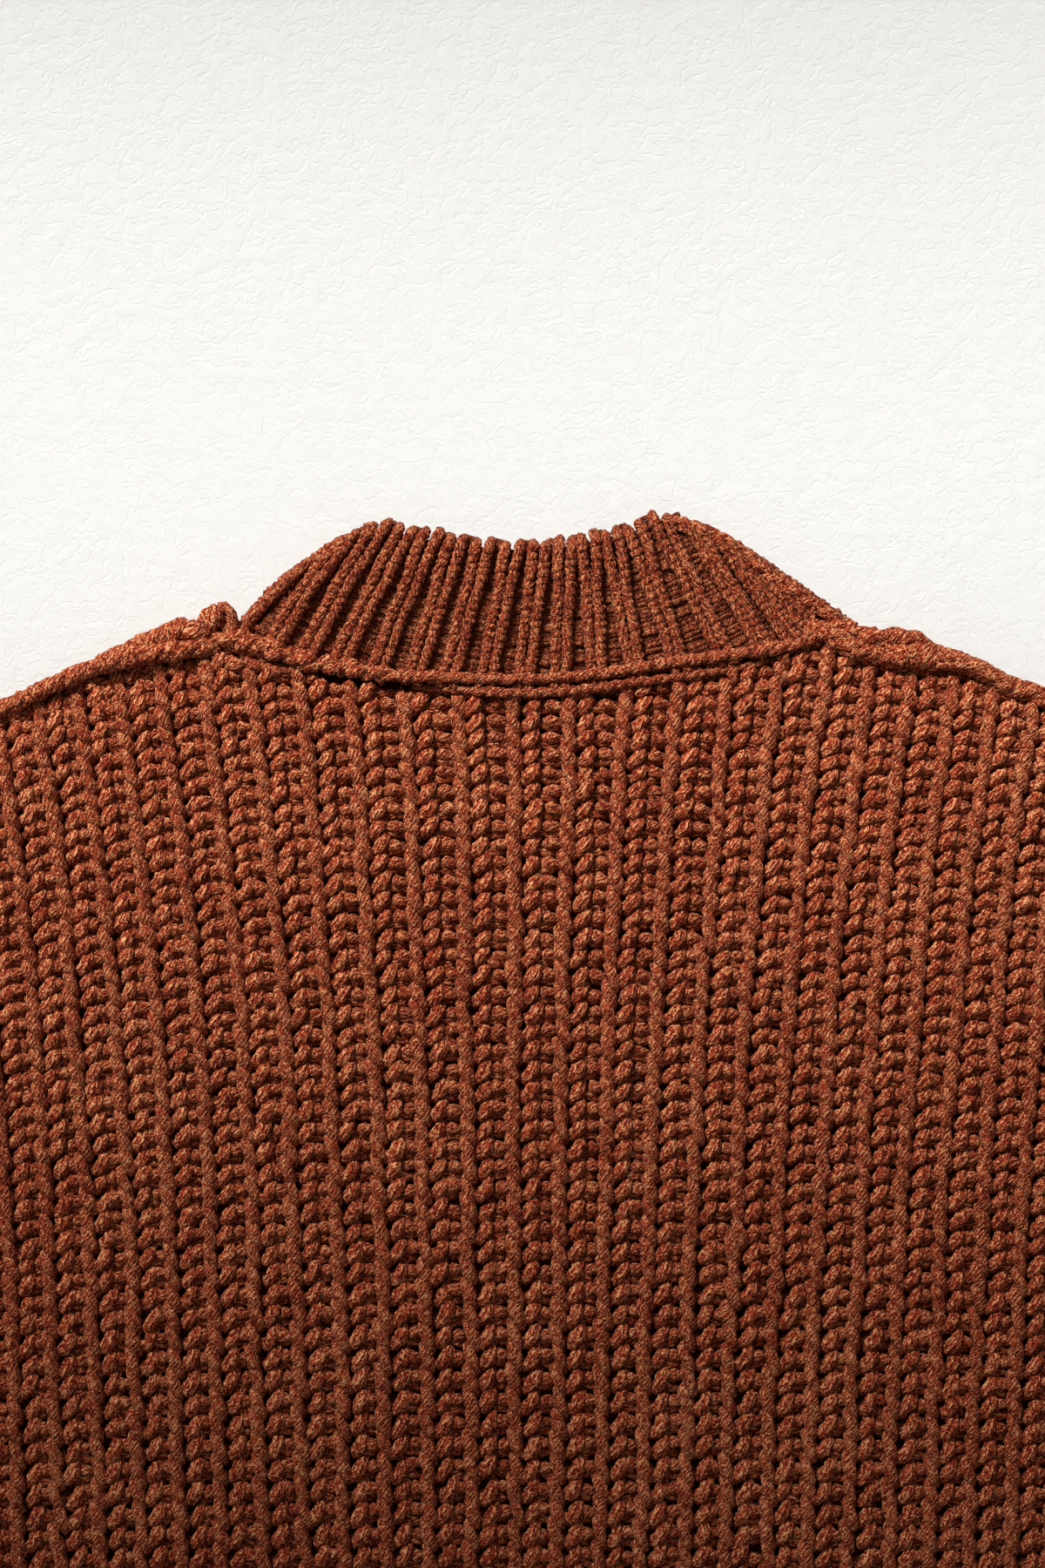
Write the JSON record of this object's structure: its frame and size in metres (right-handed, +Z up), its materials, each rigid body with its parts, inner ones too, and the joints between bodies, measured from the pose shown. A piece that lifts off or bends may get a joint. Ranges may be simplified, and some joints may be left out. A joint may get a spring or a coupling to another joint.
{
  "type": "chunky ribbed sweater",
  "caption": "Chunky rib-knit pullover with a ribbed mock neck, outward seams and drop-shoulder sleeves, laid face down and flat; its underside rests on a surface.",
  "frame": {"origin": "middle of the laid-out garment's outline box, on the surface it rests on", "axes": "+Z up from the surface, +Y from the hem towards the collar, +X to the right in the picture, from cuff to cuff"},
  "size_m": [1.302, 0.682, 0.0159],
  "materials": {
    "rib_knit": "matt plied yarn, rust brown",
    "collar_knit": "matt plied yarn in a finer rib, rust brown",
    "seam_knit": "rolled and felted yarn, rust brown"
  },
  "bodies": {
    "root": {"front": "rib_knit", "back": "rib_knit", "sleeve_left": "rib_knit", "sleeve_right": "rib_knit", "collar": "collar_knit", "neck_seam_ridge": "seam_knit", "shoulder_ridge_left": "seam_knit", "shoulder_ridge_right": "seam_knit"}
  },
  "joints": []
}
